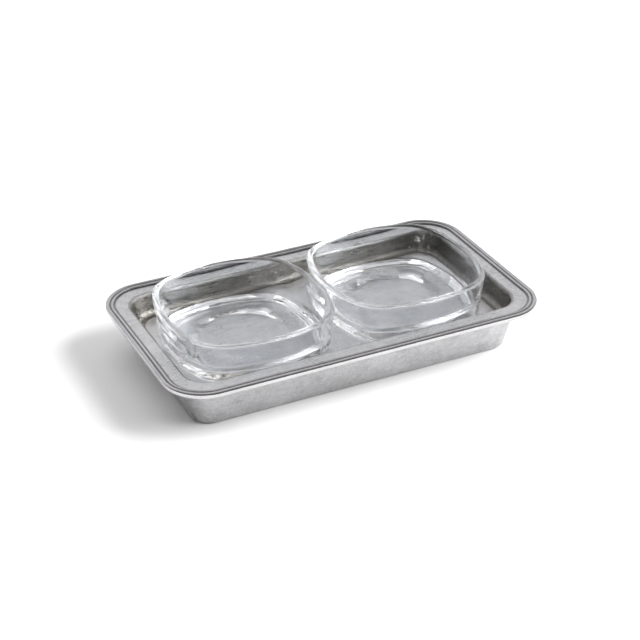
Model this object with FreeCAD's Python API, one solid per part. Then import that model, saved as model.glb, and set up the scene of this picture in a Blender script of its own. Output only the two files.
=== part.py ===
import FreeCAD, Part
import math
import os

from FreeCAD import Vector

# Tray, a single casting, in millimetres
TRAY_LENGTH = 300.0
TRAY_WIDTH = 171.0
TRAY_HEIGHT = 40.0
NECK_INSET = 15.0
NECK_CORNER = 17.0
FOOT_INSET = 22.0
FOOT_CORNER = 15.0
FOOT_RADIUS = 2.0

# The tray's well: its outline where it opens and where it meets the raised floor
FLOOR_TOP = 22.3
FLOOR_THICKNESS = 3.5
OPENING_INSET = 18.4
OPENING_CORNER = 18.5
WELL_INSET = 20.6
WELL_CORNER = 19.5
WELL_RADIUS = 5.0

# The hollow under the floor, open at the bottom
HOLLOW_MOUTH_INSET = 26.5
HOLLOW_TOP_INSET = 27.5
HOLLOW_CORNER = 11.0
HOLLOW_RADIUS = 3.0
FOOT_INNER_RADIUS = 0.6

# The tray's edge: an outer bead, a groove, an inner bead, a groove and a flat band
RIM_CORNER = 32.0
RIM_THICKNESS = 3.0
RIM_REACH = 12.0
BAND_OVERLAP = 2.0
OUTER_BEAD = 3.5
BEAD_GROOVE = 0.6
BEAD_GROOVE_DEPTH = 1.7
INNER_BEAD = 2.2
INNER_BEAD_DROP = 0.4
BAND_GROOVE = 1.3
BAND_GROOVE_DEPTH = 0.7
BAND_DROP = 1.6
BAND_EDGE_RADIUS = 0.3
LIP_RADIUS = 1.6
ROLL_RADIUS = 4.5
UNDER_RIM_RADIUS = 2.5

# Glass bowls, two alike; the insets are from the outline at the mouth
BOWL_WIDTH = 126.0
BOWL_HEIGHT = 31.5
BOWL_SIDE_RADIUS = 112.0
BOWL_CORNER_RADIUS = 30.0
BOWL_WALL = 5.0
MOUTH_RADIUS = 2.3
BASE_INSET = 3.5
BASE_THICKNESS = 3.0
BASE_RADIUS = 2.0
CAVITY_INSET = 10.0
CAVITY_RADIUS = 12.0
PAD_INSET = 21.5
RECESS_RADIUS = 34.0
RECESS_SLOPE = 2.0
RECESS_DEPTH = 0.6

# Where the bowls stand on the tray
BOWL_GAP = 0.3
BOWL_SETBACK = 3.0

BAND_TOP = TRAY_HEIGHT - BAND_DROP
RIM_UNDERSIDE = BAND_TOP - RIM_THICKNESS


def unit(angle):
    return Vector(math.cos(angle), math.sin(angle), 0)


def arc(centre, radius, start, end):
    points = [centre + unit(a) * radius for a in (start, (start + end) / 2, end)]
    return Part.Arc(*points).toShape()


def rounded_rectangle(inset, radius, z):
    """Outline of the tray drawn in by an inset, starting on the +X axis."""
    half_x = TRAY_LENGTH / 2 - inset
    half_y = TRAY_WIDTH / 2 - inset
    middle = Vector(half_x, 0, z)
    edges = []
    last = middle
    for quarter, (sx, sy) in enumerate([(1, 1), (-1, 1), (-1, -1), (1, -1)]):
        centre = Vector(sx * (half_x - radius), sy * (half_y - radius), z)
        start = quarter * math.pi / 2
        first = centre + unit(start) * radius
        edges.append(Part.makeLine(last, first))
        edges.append(arc(centre, radius, start, start + math.pi / 2))
        last = centre + unit(start + math.pi / 2) * radius
    edges.append(Part.makeLine(last, middle))
    return Part.Wire(edges)


def rounded_square(inset, z):
    """Outline of a bowl: four bowed sides and four round corners, from the +X axis."""
    side, corner = BOWL_SIDE_RADIUS, BOWL_CORNER_RADIUS
    shift = side - BOWL_WIDTH / 2
    # Each corner arc meets the side arcs smoothly when its centre is (q, q).
    q = (math.sqrt(2 * (side - corner) ** 2 - shift**2) - shift) / 2
    meeting = math.atan2(q, q + shift)
    level = Vector(0, 0, z)
    edges = []
    for quarter in range(4):
        a, b = quarter * math.pi / 2, (quarter + 1) * math.pi / 2
        corner_centre = unit(a) * q + unit(b) * q + level
        edges.append(arc(level - unit(a) * shift, side - inset, a, a + meeting))
        edges.append(arc(corner_centre, corner - inset, a + meeting, b - meeting))
        edges.append(arc(level - unit(b) * shift, side - inset, b - meeting, b))
    return Part.Wire(edges)


def section(corners, outer_x):
    """Closed section in the XZ plane from corners given as (inset, height, rounding)."""
    points = [Vector(outer_x - inset, 0, z) for inset, z, _ in corners]
    starts, edges = [], []
    for i, (_, _, radius) in enumerate(corners):
        here = points[i]
        back = (points[i - 1] - here).normalize()
        onward = (points[(i + 1) % len(points)] - here).normalize()
        half = back.getAngle(onward) / 2
        cut = radius / math.tan(half)
        starts.append((here + back * cut, here + onward * cut))
        if radius > 0:
            tip = (back + onward).normalize() * (radius / math.sin(half) - radius)
            edges.append(Part.Arc(starts[i][0], here + tip, starts[i][1]).toShape())
    for (_, end), (begin, _) in zip(starts, starts[1:] + starts[:1]):
        edges.append(Part.makeLine(end, begin))
    return Part.Wire(Part.__sortEdges__(edges))


def sweep(wire, path):
    pipe = Part.BRepOffsetAPI.MakePipeShell(path)
    pipe.setBiNormalMode(Vector(0, 0, 1))
    pipe.add(wire, False, False)
    pipe.build()
    pipe.makeSolid()
    return pipe.shape()


def level_edges(shape, z, half_length):
    """Edges of a level outline at height z whose half length is the one given."""
    found = []
    for edge in shape.Edges:
        box = edge.BoundBox
        level = abs(box.ZMin - z) < 0.01 and abs(box.ZMax - z) < 0.01
        if level and max(abs(box.XMin), abs(box.XMax)) < half_length + 0.01:
            found.append(edge)
    return found


def make_rim():
    """The edge of the tray, as far in as the flat band."""
    top = TRAY_HEIGHT
    inner_top = top - INNER_BEAD_DROP
    groove_floor = top - BEAD_GROOVE_DEPTH
    band_groove_floor = BAND_TOP - BAND_GROOVE_DEPTH
    inner_start = OUTER_BEAD + BEAD_GROOVE
    inner_end = inner_start + INNER_BEAD
    band_start = inner_end + BAND_GROOVE
    # Both beads are rounded almost to a half circle.
    outer_round = OUTER_BEAD / 2 - 0.1
    inner_round = INNER_BEAD / 2 - 0.05
    corners = [
        (RIM_REACH, RIM_UNDERSIDE, 0),
        (0, RIM_UNDERSIDE, LIP_RADIUS),
        (0, top, outer_round),
        (OUTER_BEAD, top, outer_round),
        (OUTER_BEAD, groove_floor, 0),
        (inner_start, groove_floor, 0),
        (inner_start, inner_top, inner_round),
        (inner_end, inner_top, inner_round),
        (inner_end, band_groove_floor, 0),
        (band_start, band_groove_floor, 0),
        (band_start, BAND_TOP, BAND_EDGE_RADIUS),
        (RIM_REACH, BAND_TOP, 0),
    ]
    path = rounded_rectangle(0, RIM_CORNER, 0)
    return sweep(section(corners, TRAY_LENGTH / 2), path)


def drafted(lower, upper, fillet, z, inset):
    """Solid between two level outlines, with a fillet on the edges at height z."""
    solid = Part.makeLoft([lower, upper], True, True)
    return solid.makeFillet(fillet, level_edges(solid, z, TRAY_LENGTH / 2 - inset))


def make_body():
    foot = rounded_rectangle(FOOT_INSET, FOOT_CORNER, 0)
    neck = rounded_rectangle(NECK_INSET, NECK_CORNER, RIM_UNDERSIDE)
    return drafted(foot, neck, FOOT_RADIUS, 0, FOOT_INSET)


def make_well():
    floor = rounded_rectangle(WELL_INSET, WELL_CORNER, FLOOR_TOP)
    opening = rounded_rectangle(OPENING_INSET, OPENING_CORNER, BAND_TOP)
    return drafted(floor, opening, WELL_RADIUS, FLOOR_TOP, WELL_INSET)


def make_hollow():
    ceiling = FLOOR_TOP - FLOOR_THICKNESS
    mouth = rounded_rectangle(HOLLOW_MOUTH_INSET, HOLLOW_CORNER, 0)
    top = rounded_rectangle(HOLLOW_TOP_INSET, HOLLOW_CORNER, ceiling)
    return drafted(mouth, top, HOLLOW_RADIUS, ceiling, HOLLOW_TOP_INSET)


def make_tray():
    band_inset = RIM_REACH - BAND_OVERLAP
    band_outline = rounded_rectangle(band_inset, RIM_CORNER - band_inset, RIM_UNDERSIDE)
    band = Part.Face(band_outline).extrude(Vector(0, 0, RIM_THICKNESS))
    tray = make_rim().fuse([band, make_body()]).cut([make_well(), make_hollow()])
    tray = tray.removeSplitter()
    rounded = [
        (ROLL_RADIUS, BAND_TOP, OPENING_INSET),
        (UNDER_RIM_RADIUS, RIM_UNDERSIDE, NECK_INSET),
        (FOOT_INNER_RADIUS, 0, HOLLOW_MOUTH_INSET),
    ]
    for radius, z, inset in rounded:
        edges = level_edges(tray, z, TRAY_LENGTH / 2 - inset)
        tray = tray.makeFillet(radius, edges)
    return tray


def make_bowl():
    top = BOWL_HEIGHT
    corners = [
        (PAD_INSET, 0, 0),
        (BASE_INSET, 0, BASE_RADIUS),
        (0, top, MOUTH_RADIUS),
        (BOWL_WALL, top, MOUTH_RADIUS),
        (CAVITY_INSET, BASE_THICKNESS, CAVITY_RADIUS),
        (PAD_INSET, BASE_THICKNESS, 0),
    ]
    ring = sweep(section(corners, BOWL_WIDTH / 2), rounded_square(0, 0))
    pad = Part.Face(rounded_square(PAD_INSET, 0)).extrude(Vector(0, 0, BASE_THICKNESS))
    recess = Part.makeCone(RECESS_RADIUS, RECESS_RADIUS - RECESS_SLOPE, RECESS_DEPTH)
    return ring.fuse(pad).cut(recess).removeSplitter()


def main():
    os.makedirs("parts", exist_ok=True)
    nodes = {"tray": make_tray()}
    bowl = make_bowl()
    step = (BOWL_WIDTH + BOWL_GAP) / 2
    for name, x in (("bowl_left", -step), ("bowl_right", step)):
        nodes[name] = bowl.translated(Vector(x, BOWL_SETBACK, FLOOR_TOP))
    for name, shape in nodes.items():
        print(name, "valid" if shape.isValid() else "invalid", f"{shape.Volume:.0f} mm3")
        shape.exportStep(f"parts/{name}.step")


main()
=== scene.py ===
import math

import bpy
import numpy as np
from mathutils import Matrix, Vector, noise


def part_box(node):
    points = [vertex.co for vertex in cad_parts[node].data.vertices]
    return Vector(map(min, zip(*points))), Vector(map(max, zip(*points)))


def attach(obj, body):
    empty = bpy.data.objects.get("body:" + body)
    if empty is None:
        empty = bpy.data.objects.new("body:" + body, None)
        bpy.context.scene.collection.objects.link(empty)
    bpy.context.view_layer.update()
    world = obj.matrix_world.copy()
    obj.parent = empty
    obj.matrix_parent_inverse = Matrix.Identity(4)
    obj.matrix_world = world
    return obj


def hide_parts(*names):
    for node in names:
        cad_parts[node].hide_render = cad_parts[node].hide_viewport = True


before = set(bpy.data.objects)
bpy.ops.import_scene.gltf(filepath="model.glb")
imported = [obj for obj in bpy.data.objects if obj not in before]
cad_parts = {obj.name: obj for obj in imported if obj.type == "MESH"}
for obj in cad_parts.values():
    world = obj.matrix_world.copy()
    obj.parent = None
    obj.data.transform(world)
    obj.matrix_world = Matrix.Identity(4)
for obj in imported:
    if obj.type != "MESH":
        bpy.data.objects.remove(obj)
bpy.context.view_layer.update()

# Camera: where it stands relative to what it looks at (degrees and metres), and its lens (mm)
CAMERA_AZIMUTH = -26.12
CAMERA_ELEVATION = 30.29
CAMERA_DISTANCE = 1.330
CAMERA_TARGET = (0.0151, 0.0339, 0.0)
CAMERA_LENS = 96.1
SENSOR_WIDTH = 36

# Lights: where they come from (degrees), how far off and how large (metres), power (watts)
KEY_AZIMUTH = 64
KEY_ELEVATION = 38
KEY_DISTANCE = 2.4
KEY_SIDE = 1.7
KEY_POWER = 116
FILL_AZIMUTH = -140
FILL_ELEVATION = 65
FILL_DISTANCE = 3.0
FILL_SIDE = 3.0
FILL_POWER = 28

# Studio all round: it brightens with how far up, back and right a direction points. It has
# a bright patch round the key light's direction, whose edge and core are cosines of the
# angle from it.
SKY_UP = 0.42
SKY_BACK = 0.78
SKY_RIGHT = 0.25
SKY_DIM_BELOW = 0.12
SKY_BRIGHT_ABOVE = 0.70
SKY_DIM = (0.18, 0.174, 0.167)
SKY_BRIGHT = (0.85, 0.855, 0.87)
PATCH_EDGE = 0.94
PATCH_CORE = 0.975
PATCH_STRENGTH = 1.6

# How many times light may be reflected or refracted on its way
BOUNCES = 64

# Stage floor (metres)
STAGE_HALF = 6
STAGE_DROP = 0.0002

# Tray (metres); insets are from its outline
FLOOR_TOP = 0.0223
CEILING = 0.0188
NECK_INSET = 0.015
NECK_CORNER = 0.017
FOOT_INSET = 0.022
FOOT_CORNER = 0.015
FOOT_RADIUS = 0.002
HOLLOW_MOUTH_INSET = 0.0265
HOLLOW_TOP_INSET = 0.0275
HOLLOW_CORNER = 0.011
HOLLOW_RADIUS = 0.003
FOOT_INNER_RADIUS = 0.0006
OPENING_INSET = 0.0175
OPENING_CORNER = 0.0190
OPENING_RADIUS = 0.002
WELL_INSET = 0.0206
WELL_CORNER = 0.0195
WELL_RADIUS = 0.005
CENTRE_INSET = 0.060
CENTRE_CORNER = 0.004

# Where the well's wall and floor take on their own finish, the wall's darkened with painted
# shade and the floor's lightened with painted light
WALL_INSET = 0.01792
WALL_CORNER = 0.01905
WALL_DROP = 0.0022
FLOOR_INSET = 0.0265
FLOOR_CORNER = 0.0145

# The tray's rim: an outer bead, a groove, an inner bead, a groove and a flat band
RIM_CORNER = 0.032
RIM_THICKNESS = 0.003
LIP_RADIUS = 0.0016
UNDER_RIM_RADIUS = 0.0025
OUTER_BEAD = 0.0035
OUTER_BEAD_ROUND = 0.00165
BEAD_GROOVE = 0.0006
BEAD_GROOVE_DEPTH = 0.0017
INNER_BEAD = 0.0022
INNER_BEAD_ROUND = 0.00105
INNER_BEAD_DROP = 0.0004
BAND_GROOVE = 0.0013
BAND_GROOVE_DEPTH = 0.0007
BAND_DROP = 0.0016
BAND_EDGE_RADIUS = 0.0003

# The tray's mesh, and how wavy its surface is; its foot, lip and top stay even
CORNER_STEPS = 28
LONG_SIDE_STEPS = 110
SHORT_SIDE_STEPS = 50
TRAY_ARC_STEPS = 7
TRAY_STEP = 0.0025
TRAY_WAVINESS = 0.00018
WAVES_PER_METRE = 28
WAVE_SEED = 7
EVEN_FOOT = 0.001
EVEN_LIP = 0.001
EVEN_TOP = 0.0001
TRAY_SHARP_ANGLE = 55

# Finishes of the tray, in the order of its material slots; the band and the well's floor carry
# painted light, the well's wall painted shade
SKIN, BEAD, GROOVE, BAND, WALL, FLOOR, EDGE = range(7)

# Bowls (metres); insets are from the outline at the mouth
BOWL_HALF = 0.063
SIDE_RADIUS = 0.112
CORNER_RADIUS = 0.030
BOWL_WALL = 0.005
MOUTH_RADIUS = 0.0023
BASE_INSET = 0.0035
BASE_THICKNESS = 0.003
BASE_RADIUS = 0.002
CAVITY_INSET = 0.010
CAVITY_RADIUS = 0.012
PAD_INSET = 0.0215
RECESS_RADIUS = 0.034
RECESS_SLOPE = 0.002
RECESS_DEPTH = 0.0006
STANDING_GAP = 0.00005

# The bowls' mesh, with the radii of the rings that fill its flat middles
BOWL_CORNER_STEPS = 20
BOWL_SIDE_STEPS = 16
BOWL_ARC_STEPS = 10
BOWL_STEP = 0.003
RECESS_RINGS = (0.004, 0.012, 0.020, 0.027, RECESS_RADIUS - RECESS_SLOPE)
INSIDE_RINGS = (0.034, 0.026, 0.018, 0.010, 0.004)
BOWL_SHARP_ANGLE = 60

# Most metal's bumps: the weights of fine grain, shallow dents and brush lines, and their
# height (metres); brush lines are a noise squeezed across X
GRAIN = (1.0, 0.5, 0.8)
GRAIN_HEIGHT = 0.0004
BRUSH_SQUEEZE = (1, 11, 11)

# Colour sockets of a Mix node
MIX_A, MIX_B = 6, 7
MIX_RESULT = 2


def rounding_arc(before, row, after, steps):
    """Points of the arc that rounds a row of a profile; the corner radius blends along it."""
    inset, height, rounding, radius, finish = row
    here = Vector((inset, height))
    back = Vector(before[:2]) - here
    onward = Vector(after[:2]) - here
    half = back.angle(onward) / 2
    cut = rounding / math.tan(half)
    first = here + back.normalized() * cut
    last = here + onward.normalized() * cut
    first_radius = radius + (before[3] - radius) * cut / back.length
    last_radius = radius + (after[3] - radius) * cut / onward.length
    bisector = (back.normalized() + onward.normalized()).normalized()
    centre = here + bisector * (rounding / math.sin(half))
    points = []
    for k in range(steps + 1):
        t = k / steps
        spoke = (first - centre).normalized().lerp((last - centre).normalized(), t)
        point = centre + spoke.normalized() * rounding
        blended = first_radius * (1 - t) ** 2 + 2 * radius * t * (1 - t) + last_radius * t**2
        points.append((point.x, point.y, blended, finish))
    return points


def rounded_profile(rows, steps):
    """Rounds a profile given as rows of (inset, height, rounding, corner radius, finish).

    Returns (inset, height, corner radius, finish of the surface that the point starts)."""
    line = []
    for i, row in enumerate(rows):
        inset, height, rounding, radius, finish = row
        if rounding == 0:
            line.append((inset, height, radius, finish))
        else:
            line.extend(rounding_arc(rows[i - 1], row, rows[i + 1], steps))
    return line


def divided(line, longest):
    """Adds points to a profile so that none of its steps is longer than the one given."""
    points = [line[0]]
    for before, after in zip(line, line[1:]):
        length = math.dist(before[:2], after[:2])
        count = max(1, math.ceil(length / longest))
        for k in range(1, count + 1):
            t = k / count
            mixed = [a + (b - a) * t for a, b in zip(before[:3], after[:3])]
            points.append((*mixed, before[3] if k < count else after[3]))
    return points


def rectangle_ring(half_x, half_y, radius):
    """A rounded rectangle as points, each side and corner in a fixed number of steps."""
    points = []
    corners = [(1, 1), (-1, 1), (-1, -1), (1, -1)]
    for quarter, (sx, sy) in enumerate(corners):
        centre = np.array([sx * (half_x - radius), sy * (half_y - radius)])
        angles = np.linspace(0, math.pi / 2, CORNER_STEPS + 1) + quarter * math.pi / 2
        points.extend(centre + radius * np.array([math.cos(a), math.sin(a)]) for a in angles)
        nx, ny = corners[(quarter + 1) % 4]
        after = np.array([nx * (half_x - radius), ny * (half_y - radius)])
        start = (quarter + 1) * math.pi / 2
        after = after + radius * np.array([math.cos(start), math.sin(start)])
        steps = LONG_SIDE_STEPS if quarter % 2 == 0 else SHORT_SIDE_STEPS
        last = points[-1]
        points.extend(last + (after - last) * k / steps for k in range(1, steps))
    return np.array(points)


def square_ring(half, inset):
    """The outline of a bowl, with bowed sides and round corners, drawn in by an inset."""
    shift = SIDE_RADIUS - half
    # Each corner arc meets the side arcs smoothly when its centre is (q, q).
    q = (math.sqrt(2 * (SIDE_RADIUS - CORNER_RADIUS) ** 2 - shift**2) - shift) / 2
    meeting = math.atan2(q, q + shift)
    points = []
    for quarter in range(4):
        start = quarter * math.pi / 2
        across = np.array([math.cos(start), math.sin(start)])
        along = np.array([-math.sin(start), math.cos(start)])
        side = np.linspace(-meeting, meeting, 2 * BOWL_SIDE_STEPS + 1)
        for a in side:
            reach = (SIDE_RADIUS - inset) * (across * math.cos(a) + along * math.sin(a))
            points.append(reach - across * shift)
        corner = np.linspace(meeting, math.pi / 2 - meeting, BOWL_CORNER_STEPS + 1)[1:-1]
        for a in corner:
            reach = (CORNER_RADIUS - inset) * (across * math.cos(a) + along * math.sin(a))
            points.append(reach + (across + along) * q)
    return np.array(points)


def circle_ring(like, radius):
    """A circle whose points lie in the directions of another ring's points."""
    return like / np.linalg.norm(like, axis=1)[:, None] * radius


def level(ring, z):
    """A ring of points laid flat at one height."""
    return [(x, y, z) for x, y in ring]


def ring_mesh(name, rings, slots):
    """A closed mesh through rings of points, with one material slot number per band."""
    count = len(rings[0])
    vertices = [tuple(p) for ring in rings for p in ring]
    faces, materials = [], []
    for band in range(len(rings) - 1):
        low, high = band * count, (band + 1) * count
        for i in range(count):
            j = (i + 1) % count
            faces.append((low + i, low + j, high + j, high + i))
            materials.append(slots[band])
    faces.append(tuple(reversed(range(count))))
    materials.append(slots[0])
    faces.append(tuple(range(len(vertices) - count, len(vertices))))
    materials.append(slots[-1])
    mesh = bpy.data.meshes.new(name)
    mesh.from_pydata(vertices, [], faces)
    mesh.polygons.foreach_set("material_index", materials)
    mesh.polygons.foreach_set("use_smooth", [True] * len(faces))
    mesh.update()
    piece = bpy.data.objects.new(name, mesh)
    bpy.context.scene.collection.objects.link(piece)
    return piece


def node_tree(name):
    material = bpy.data.materials.new(name)
    material.use_nodes = True
    nodes = material.node_tree.nodes
    return material, nodes, material.node_tree.links, nodes["Principled BSDF"]


def noise_node(nodes, links, source, scale, detail=3.0, roughness=0.5, distortion=0.0):
    texture = nodes.new("ShaderNodeTexNoise")
    texture.inputs["Scale"].default_value = scale
    texture.inputs["Detail"].default_value = detail
    texture.inputs["Roughness"].default_value = roughness
    texture.inputs["Distortion"].default_value = distortion
    links.new(source, texture.inputs["Vector"])
    return texture.outputs["Fac"]


def ramp_node(nodes, links, source, low, high, low_colour, high_colour):
    ramp = nodes.new("ShaderNodeValToRGB")
    ramp.color_ramp.elements[0].position = low
    ramp.color_ramp.elements[1].position = high
    ramp.color_ramp.elements[0].color = (*low_colour, 1)
    ramp.color_ramp.elements[1].color = (*high_colour, 1)
    links.new(source, ramp.inputs["Fac"])
    return ramp.outputs["Color"]


def range_node(nodes, links, source, low, high, to_low, to_high):
    mapped = nodes.new("ShaderNodeMapRange")
    mapped.inputs["From Min"].default_value = low
    mapped.inputs["From Max"].default_value = high
    mapped.inputs["To Min"].default_value = to_low
    mapped.inputs["To Max"].default_value = to_high
    links.new(source, mapped.inputs["Value"])
    return mapped.outputs["Result"]


def math_node(nodes, links, operation, first, second):
    node = nodes.new("ShaderNodeMath")
    node.operation = operation
    for socket, value in zip(node.inputs, (first, second)):
        if isinstance(value, (int, float)):
            socket.default_value = value
        else:
            links.new(value, socket)
    return node.outputs["Value"]


def weighted(nodes, links, parts):
    """Sum of sources, each times its weight."""
    total = None
    for source, weight in parts:
        part = math_node(nodes, links, "MULTIPLY", source, weight)
        total = part if total is None else math_node(nodes, links, "ADD", total, part)
    return total


def stretched(nodes, links, scale):
    """Object coordinates, squeezed or stretched along each axis."""
    place = nodes.new("ShaderNodeTexCoord")
    mapping = nodes.new("ShaderNodeMapping")
    mapping.inputs["Scale"].default_value = scale
    links.new(place.outputs["Object"], mapping.inputs["Vector"])
    return mapping.outputs["Vector"]


def add_bump(nodes, links, shader, source, height):
    bump = nodes.new("ShaderNodeBump")
    bump.inputs["Distance"].default_value = height
    links.new(source, bump.inputs["Height"])
    links.new(bump.outputs["Normal"], shader.inputs["Normal"])


def metal(name, tone, contrast, roughness, relief=GRAIN, height=GRAIN_HEIGHT):
    """Cast metal: mottled tone, uneven polish, and bumps with the weights in relief."""
    material, nodes, links, shader = node_tree(name)
    place = stretched(nodes, links, (1, 1, 1))
    lines = stretched(nodes, links, BRUSH_SQUEEZE)
    patches = noise_node(nodes, links, place, scale=40, detail=4, roughness=0.6)
    dents = noise_node(nodes, links, place, scale=210, detail=2)
    grit = noise_node(nodes, links, place, scale=620, detail=4, roughness=0.75)
    strokes = noise_node(nodes, links, lines, scale=75, detail=4, roughness=0.7, distortion=0.5)
    tones = [(patches, 0.25), (dents, 0.15), (grit, 0.35), (strokes, 0.25)]
    mottle = weighted(nodes, links, tones)
    dark = [c * (1 - contrast) for c in tone]
    light = [c * (1 + 0.6 * contrast) for c in tone]
    colour = ramp_node(nodes, links, mottle, 0.38, 0.62, low_colour=dark, high_colour=light)
    links.new(colour, shader.inputs["Base Color"])
    wear = weighted(nodes, links, [(patches, 0.5), (strokes, 0.5)])
    smooth, rough = roughness * 0.75, roughness * 1.3
    polish = range_node(nodes, links, wear, 0.35, 0.65, to_low=smooth, to_high=rough)
    links.new(polish, shader.inputs["Roughness"])
    bumps = weighted(nodes, links, list(zip((grit, dents, strokes), relief)))
    add_bump(nodes, links, shader, bumps, height)
    shader.inputs["Metallic"].default_value = 1.0
    return material


def cast_skin():
    """Outside walls, foot and underside."""
    return metal("cast_skin", (0.535, 0.532, 0.543), contrast=0.34, roughness=0.34)


def polished_bead():
    """Both beads of the rim, worn smooth."""
    look = {"contrast": 0.20, "roughness": 0.18, "relief": (0.3, 0.6, 0.3), "height": 0.00015}
    return metal("polished_bead", (0.56, 0.55, 0.56), **look)


def dark_groove():
    """Grooves beside the beads, where polish doesn't reach."""
    look = {"contrast": 0.30, "roughness": 0.45, "relief": (0.5, 0.3, 0.3), "height": 0.0002}
    return metal("dark_groove", (0.40, 0.39, 0.385), **look)


def satin_band_painted_light():
    """Flat band between the beads and the well, lighter than the cast skin: painted light on
    the tray's flat top.
    """
    return metal("satin_band_painted_light", (0.73, 0.725, 0.73), contrast=0.30, roughness=0.30)


def well_wall_tarnish_and_painted_shade():
    """Inside walls, brushed and tarnished, and made much darker than the cast skin: painted
    shade, since the well's inner walls stand in shade.
    """
    look = {"contrast": 0.50, "roughness": 0.30, "relief": (0.6, 0.8, 1.0)}
    return metal("well_wall_tarnish_and_painted_shade", (0.27, 0.255, 0.235), **look)


def well_floor_painted_light():
    """Floor that the bowls stand on, lighter than the cast skin: painted light, brightening the
    floor seen through the glass bowls.
    """
    look = {"contrast": 0.24, "roughness": 0.30, "relief": (0.35, 0.6, 0.4), "height": 0.0002}
    return metal("well_floor_painted_light", (0.71, 0.70, 0.705), **look)


def rounded_edge():
    """Edge where the band turns down into the well."""
    return metal("rounded_edge", (0.47, 0.46, 0.45), contrast=0.36, roughness=0.34)


def clear_glass():
    """Clear pressed glass with a faint cool tint and gently uneven surfaces."""
    material, nodes, links, shader = node_tree("clear_glass")
    place = stretched(nodes, links, (1, 1, 1))
    flow = noise_node(nodes, links, place, scale=45, detail=2, roughness=0.4)
    deep, pale = (0.865, 0.882, 0.898), (0.905, 0.920, 0.934)
    tint = ramp_node(nodes, links, flow, 0.3, 0.7, low_colour=deep, high_colour=pale)
    links.new(tint, shader.inputs["Base Color"])
    haze = range_node(nodes, links, flow, 0.3, 0.7, to_low=0.0, to_high=0.012)
    links.new(haze, shader.inputs["Roughness"])
    add_bump(nodes, links, shader, flow, height=0.0006)
    shader.inputs["Transmission Weight"].default_value = 1.0
    shader.inputs["IOR"].default_value = 1.5
    return material


def floor_paint():
    """Matt off-white paint for the stage floor."""
    material, nodes, links, shader = node_tree("floor_paint")
    place = stretched(nodes, links, (1, 1, 1))
    tone = noise_node(nodes, links, place, scale=3)
    dim, pale = (0.90, 0.90, 0.90), (0.92, 0.92, 0.92)
    colour = ramp_node(nodes, links, tone, 0.3, 0.7, low_colour=dim, high_colour=pale)
    links.new(colour, shader.inputs["Base Color"])
    shader.inputs["Roughness"].default_value = 1.0
    shader.inputs["Specular IOR Level"].default_value = 0.0
    return material


def uneven(points, z, size):
    """Points moved a little up, down and sideways, like a surface finished by hand."""
    moved = []
    for x, y in points:
        place = Vector((x, y, z)) * WAVES_PER_METRE
        drift = noise.noise_vector(place) * size
        moved.append((x + drift.x, y + drift.y, z + drift.z))
    return moved


def rim_rows(top, under, band):
    """Rows of the tray's profile that go up and over the rim, as far as the flat band."""
    bead_groove_floor = top - BEAD_GROOVE_DEPTH
    inner_top = top - INNER_BEAD_DROP
    band_groove_floor = band - BAND_GROOVE_DEPTH
    inner_start = OUTER_BEAD + BEAD_GROOVE
    inner_end = inner_start + INNER_BEAD
    band_start = inner_end + BAND_GROOVE
    rows = [
        (0, under, LIP_RADIUS, BEAD),
        (0, top, OUTER_BEAD_ROUND, BEAD),
        (OUTER_BEAD, top, OUTER_BEAD_ROUND, BEAD),
        (OUTER_BEAD, bead_groove_floor, 0, GROOVE),
        (inner_start, bead_groove_floor, 0, BEAD),
        (inner_start, inner_top, INNER_BEAD_ROUND, BEAD),
        (inner_end, inner_top, INNER_BEAD_ROUND, BEAD),
        (inner_end, band_groove_floor, 0, GROOVE),
        (band_start, band_groove_floor, 0, BEAD),
        (band_start, band, BAND_EDGE_RADIUS, BAND),
    ]
    return [
        (inset, z, rounding, RIM_CORNER - inset, finish)
        for inset, z, rounding, finish in rows
    ]


def tray_rows(top):
    """Rows from the hollow's ceiling, round the foot and the rim, to the well's floor."""
    band = top - BAND_DROP
    under = band - RIM_THICKNESS
    return [
        (CENTRE_INSET, CEILING, 0, CENTRE_CORNER, SKIN),
        (HOLLOW_TOP_INSET, CEILING, HOLLOW_RADIUS, HOLLOW_CORNER, SKIN),
        (HOLLOW_MOUTH_INSET, 0, FOOT_INNER_RADIUS, HOLLOW_CORNER, SKIN),
        (FOOT_INSET, 0, FOOT_RADIUS, FOOT_CORNER, SKIN),
        (NECK_INSET, under, UNDER_RIM_RADIUS, NECK_CORNER, SKIN),
        *rim_rows(top, under, band),
        (OPENING_INSET, band, OPENING_RADIUS, OPENING_CORNER, EDGE),
        (WALL_INSET, band - WALL_DROP, 0, WALL_CORNER, WALL),
        # The rounding from the wall down into the floor keeps the wall's darkened colour:
        # painted shade.
        (WELL_INSET, FLOOR_TOP, WELL_RADIUS, WELL_CORNER, WALL),
        (FLOOR_INSET, FLOOR_TOP, 0, FLOOR_CORNER, FLOOR),
        (CENTRE_INSET, FLOOR_TOP, 0, CENTRE_CORNER, FLOOR),
    ]


def make_tray(materials):
    low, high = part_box("tray")
    half_x, half_y = (high.x - low.x) / 2, (high.y - low.y) / 2
    line = divided(rounded_profile(tray_rows(high.z), TRAY_ARC_STEPS), TRAY_STEP)
    # Unseeded, the noise would differ from run to run.
    noise.seed_set(WAVE_SEED)
    rings = []
    for inset, z, radius, _ in line:
        ring = rectangle_ring(half_x - inset, half_y - inset, radius)
        wavy = EVEN_FOOT < z < high.z - EVEN_TOP and inset > EVEN_LIP
        rings.append(uneven(ring, z, TRAY_WAVINESS if wavy else 0))
    piece = ring_mesh("tray_casting", rings, [finish for _, _, _, finish in line])
    for material in materials:
        piece.data.materials.append(material)
    piece.data.set_sharp_from_angle(angle=math.radians(TRAY_SHARP_ANGLE))
    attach(piece, "tray")
    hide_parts("tray")


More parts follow.
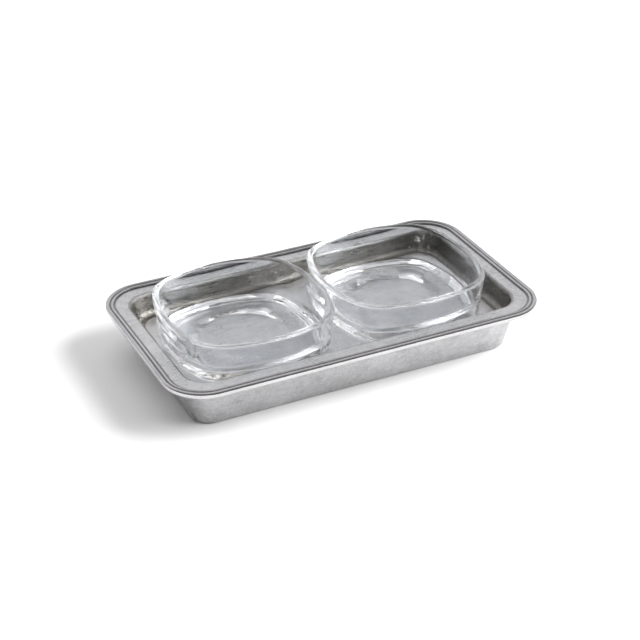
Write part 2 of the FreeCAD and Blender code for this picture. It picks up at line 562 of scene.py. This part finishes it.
def bowl_rows(height):
    """Rows from the middle of the underside, over the mouth, to the middle of the inside."""
    rows = [
        (PAD_INSET, 0, 0),
        (BASE_INSET, 0, BASE_RADIUS),
        (0, height, MOUTH_RADIUS),
        (BOWL_WALL, height, MOUTH_RADIUS),
        (CAVITY_INSET, BASE_THICKNESS, CAVITY_RADIUS),
        (PAD_INSET, BASE_THICKNESS, 0),
    ]
    # A bowl has one finish, and its outline takes no corner radius.
    return [(*row, 0, 0) for row in rows]


def make_bowl(name, material):
    low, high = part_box(name)
    centre = (low + high) / 2
    base = low.z + STANDING_GAP
    line = divided(rounded_profile(bowl_rows(high.z - base), BOWL_ARC_STEPS), BOWL_STEP)
    pad = square_ring(BOWL_HALF, PAD_INSET)
    rings = [level(circle_ring(pad, radius), RECESS_DEPTH) for radius in RECESS_RINGS]
    rings.append(level(circle_ring(pad, RECESS_RADIUS), 0))
    rings.extend(level(square_ring(BOWL_HALF, inset), z) for inset, z, _, _ in line)
    rings.extend(level(circle_ring(pad, radius), BASE_THICKNESS) for radius in INSIDE_RINGS)
    placed = [[(x + centre.x, y + centre.y, z + base) for x, y, z in ring] for ring in rings]
    piece = ring_mesh(name + "_glass", placed, [0] * len(placed))
    piece.data.materials.append(material)
    piece.data.set_sharp_from_angle(angle=math.radians(BOWL_SHARP_ANGLE))
    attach(piece, name)
    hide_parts(name)


def make_floor():
    near, far = -STAGE_HALF, STAGE_HALF
    corners = [(near, near, 0), (far, near, 0), (far, far, 0), (near, far, 0)]
    mesh = bpy.data.meshes.new("floor")
    mesh.from_pydata(corners, [], [(0, 1, 2, 3)])
    mesh.materials.append(floor_paint())
    floor = bpy.data.objects.new("floor", mesh)
    floor.location.z = -STAGE_DROP
    bpy.context.scene.collection.objects.link(floor)


def direction(azimuth, elevation):
    """Unit vector towards a point of the compass, with azimuth 0 towards -Y."""
    a, e = math.radians(azimuth), math.radians(elevation)
    return Vector((math.sin(a) * math.cos(e), -math.cos(a) * math.cos(e), math.sin(e)))


def make_camera():
    data = bpy.data.cameras.new("camera")
    data.lens = CAMERA_LENS
    data.sensor_width = SENSOR_WIDTH
    camera = bpy.data.objects.new("camera", data)
    back = direction(CAMERA_AZIMUTH, CAMERA_ELEVATION)
    camera.location = Vector(CAMERA_TARGET) + back * CAMERA_DISTANCE
    camera.rotation_euler = back.to_track_quat("Z", "Y").to_euler()
    bpy.context.scene.collection.objects.link(camera)
    bpy.context.scene.camera = camera


def make_softbox(name, azimuth, elevation, distance, side, power):
    """A square light. Metal and glass don't mirror it, but the sky's bright patch instead."""
    data = bpy.data.lights.new(name, "AREA")
    data.shape = "SQUARE"
    data.size = side
    data.energy = power
    lamp = bpy.data.objects.new(name, data)
    away = direction(azimuth, elevation)
    lamp.location = away * distance
    lamp.rotation_euler = away.to_track_quat("Z", "Y").to_euler()
    lamp.visible_glossy = False
    bpy.context.scene.collection.objects.link(lamp)


def make_lights():
    make_softbox("key", KEY_AZIMUTH, KEY_ELEVATION, KEY_DISTANCE, KEY_SIDE, KEY_POWER)
    make_softbox("fill", FILL_AZIMUTH, FILL_ELEVATION, FILL_DISTANCE, FILL_SIDE, FILL_POWER)


def sky_colour(nodes, links, place):
    """The studio's colour: white where it is seen directly, shaded in reflections."""
    split = nodes.new("ShaderNodeSeparateXYZ")
    links.new(place, split.inputs["Vector"])
    axes = split.outputs
    parts = [(axes["Z"], SKY_UP), (axes["Y"], SKY_BACK), (axes["X"], SKY_RIGHT)]
    rise = weighted(nodes, links, parts)
    shaded = ramp_node(nodes, links, rise, SKY_DIM_BELOW, SKY_BRIGHT_ABOVE, SKY_DIM, SKY_BRIGHT)
    seen = nodes.new("ShaderNodeLightPath")
    mix = nodes.new("ShaderNodeMix")
    mix.data_type = "RGBA"
    links.new(seen.outputs["Is Camera Ray"], mix.inputs["Factor"])
    links.new(shaded, mix.inputs[MIX_A])
    mix.inputs[MIX_B].default_value = (1, 1, 1, 1)
    return mix.outputs[MIX_RESULT]


def sky_strength(nodes, links, place):
    """The studio's strength: even, apart from the patch round the key light's direction."""
    towards_key = nodes.new("ShaderNodeVectorMath")
    towards_key.operation = "DOT_PRODUCT"
    towards_key.inputs[1].default_value = direction(KEY_AZIMUTH, KEY_ELEVATION)
    links.new(place, towards_key.inputs[0])
    nearness = towards_key.outputs["Value"]
    return range_node(nodes, links, nearness, PATCH_EDGE, PATCH_CORE, 1.0, PATCH_STRENGTH)


def make_world():
    world = bpy.data.worlds.new("studio")
    world.use_nodes = True
    bpy.context.scene.world = world
    nodes, links = world.node_tree.nodes, world.node_tree.links
    place = nodes.new("ShaderNodeTexCoord").outputs["Generated"]
    background = nodes["Background"]
    links.new(sky_colour(nodes, links, place), background.inputs["Color"])
    links.new(sky_strength(nodes, links, place), background.inputs["Strength"])


def set_bounces():
    """Light in the thick glass is reflected many times before it leaves."""
    cycles = bpy.context.scene.cycles
    cycles.max_bounces = BOUNCES
    cycles.glossy_bounces = BOUNCES
    cycles.transmission_bounces = BOUNCES


def main():
    bpy.context.scene.view_settings.view_transform = "Standard"
    set_bounces()
    make_camera()
    make_tray([
        cast_skin(),
        polished_bead(),
        dark_groove(),
        satin_band_painted_light(),
        well_wall_tarnish_and_painted_shade(),
        well_floor_painted_light(),
        rounded_edge(),
    ])
    glass = clear_glass()
    for name in ("bowl_left", "bowl_right"):
        make_bowl(name, glass)
    make_floor()
    make_world()
    make_lights()


main()
